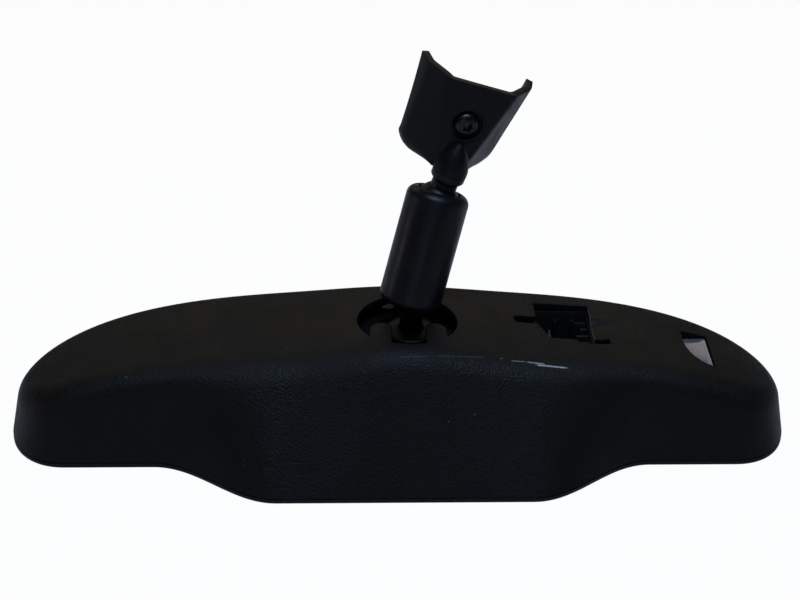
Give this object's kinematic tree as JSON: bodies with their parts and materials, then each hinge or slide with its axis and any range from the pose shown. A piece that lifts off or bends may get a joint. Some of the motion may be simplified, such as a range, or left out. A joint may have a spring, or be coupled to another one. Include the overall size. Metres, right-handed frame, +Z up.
{
  "type": "interior rearview mirror",
  "caption": "Auto-dimming interior rearview mirror with a grained black housing, a chin with controls, a two-ball stem and a windshield bracket.",
  "frame": {"origin": "on the resting plane under the glass frame, at the middle of the plan outline's length and width", "axes": "+X along the mirror, +Y from the chin edge to the top edge, +Z up from the glass to the windshield bracket"},
  "size_m": [0.2632, 0.0785, 0.1277],
  "materials": {
    "grained_black": "fine leather grain",
    "satin_black": "satin",
    "painted_black": "satin black paint",
    "mirror": "polished",
    "glass": "polished, mirrored on its back",
    "steel": "zinc plated",
    "copper": "tinned",
    "foam": "foam tape",
    "board_green": "solder mask",
    "nylon": "natural nylon",
    "chip": "moulded",
    "lens": "clear, polished",
    "seal": "matt"
  },
  "bodies": {
    "head": {"rear_housing": "grained_black", "bezel": "satin_black", "front_glass": "mirror", "electrolyte_seal": "seal", "rear_glass": "glass", "upper_bus_clip": "copper", "lower_bus_clip": "copper", "backing_foam": "foam", "carrier_plate": "satin_black", "circuit_board": "board_green", "processor": "chip", "capacitor": "steel", "connector_shroud": "satin_black", "contact_pin_1": "copper", "contact_pin_2": "copper", "contact_pin_3": "copper", "contact_pin_4": "copper", "contact_pin_5": "copper", "contact_pin_6": "copper", "sensor_tower": "satin_black", "ambient_light_sensor": "chip", "light_sensor_lens": "lens", "chin_board": "board_green", "switch_1": "chip", "switch_2": "chip", "switch_3": "chip", "switch_4": "chip", "indicator_lens": "lens", "glare_sensor_lens": "lens", "glare_light_sensor": "chip", "mounting_plate": "steel", "board_screw_1": "steel", "board_screw_2": "steel", "board_screw_3": "steel", "board_screw_4": "steel", "plate_screw_1": "steel", "plate_screw_2": "steel", "plate_screw_3": "steel", "plate_screw_4": "steel"},
    "lower_stud": {"lower_ball_stud": "steel", "stud_nut": "steel"},
    "stem": {"stem_tube": "painted_black", "lower_seat_ring": "nylon", "lower_follower": "nylon", "stem_spring": "steel"},
    "upper_seats": {"upper_seat_ring": "nylon", "upper_follower": "nylon"},
    "upper_stud": {"upper_ball_stud": "painted_black"},
    "bracket": {"mount_bracket": "painted_black", "mount_screw": "steel"},
    "channel_button_1": {"channel_button_1": "satin_black"},
    "channel_button_2": {"channel_button_2": "satin_black"},
    "channel_button_3": {"channel_button_3": "satin_black"},
    "dimmer_button": {"dimmer_button": "satin_black"}
  },
  "joints": [
    {"name": "stem_turn", "type": "hinge", "parent": "head", "child": "lower_stud", "pos_m": [0.003, 0.012, 0.0495], "axis": [0, 0, 1], "continuous": true},
    {"name": "stem_tilt", "type": "hinge", "parent": "lower_stud", "child": "stem", "pos_m": [0.003, 0.012, 0.0495], "axis": [-0.7525, 0.6586, 0], "range_deg": [-48, 5]},
    {"name": "upper_turn", "type": "hinge", "parent": "stem", "child": "upper_seats", "pos_m": [0.0106, 0.02069, 0.07827], "axis": [0.2452, 0.2802, 0.9281], "continuous": true},
    {"name": "bracket_tilt", "type": "hinge", "parent": "upper_seats", "child": "upper_stud", "pos_m": [0.0106, 0.02069, 0.07827], "axis": [0.9044, 0.2787, -0.3231], "range_deg": [-36, 7]},
    {"name": "bracket_turn", "type": "hinge", "parent": "upper_stud", "child": "bracket", "pos_m": [0.0106, 0.02069, 0.07827], "axis": [0.3253, 0.0396, 0.9448], "continuous": true},
    {"name": "channel_button_1_press", "type": "slide", "parent": "head", "child": "channel_button_1", "axis": [0, 0, 1], "range_m": [0, 0.0008], "stiffness_N_per_m": 600},
    {"name": "channel_button_2_press", "type": "slide", "parent": "head", "child": "channel_button_2", "axis": [0, 0, 1], "range_m": [0, 0.0008], "stiffness_N_per_m": 600},
    {"name": "channel_button_3_press", "type": "slide", "parent": "head", "child": "channel_button_3", "axis": [0, 0, 1], "range_m": [0, 0.0008], "stiffness_N_per_m": 600},
    {"name": "dimmer_button_press", "type": "slide", "parent": "head", "child": "dimmer_button", "axis": [0, 0, 1], "range_m": [0, 0.0008], "stiffness_N_per_m": 600}
  ]
}
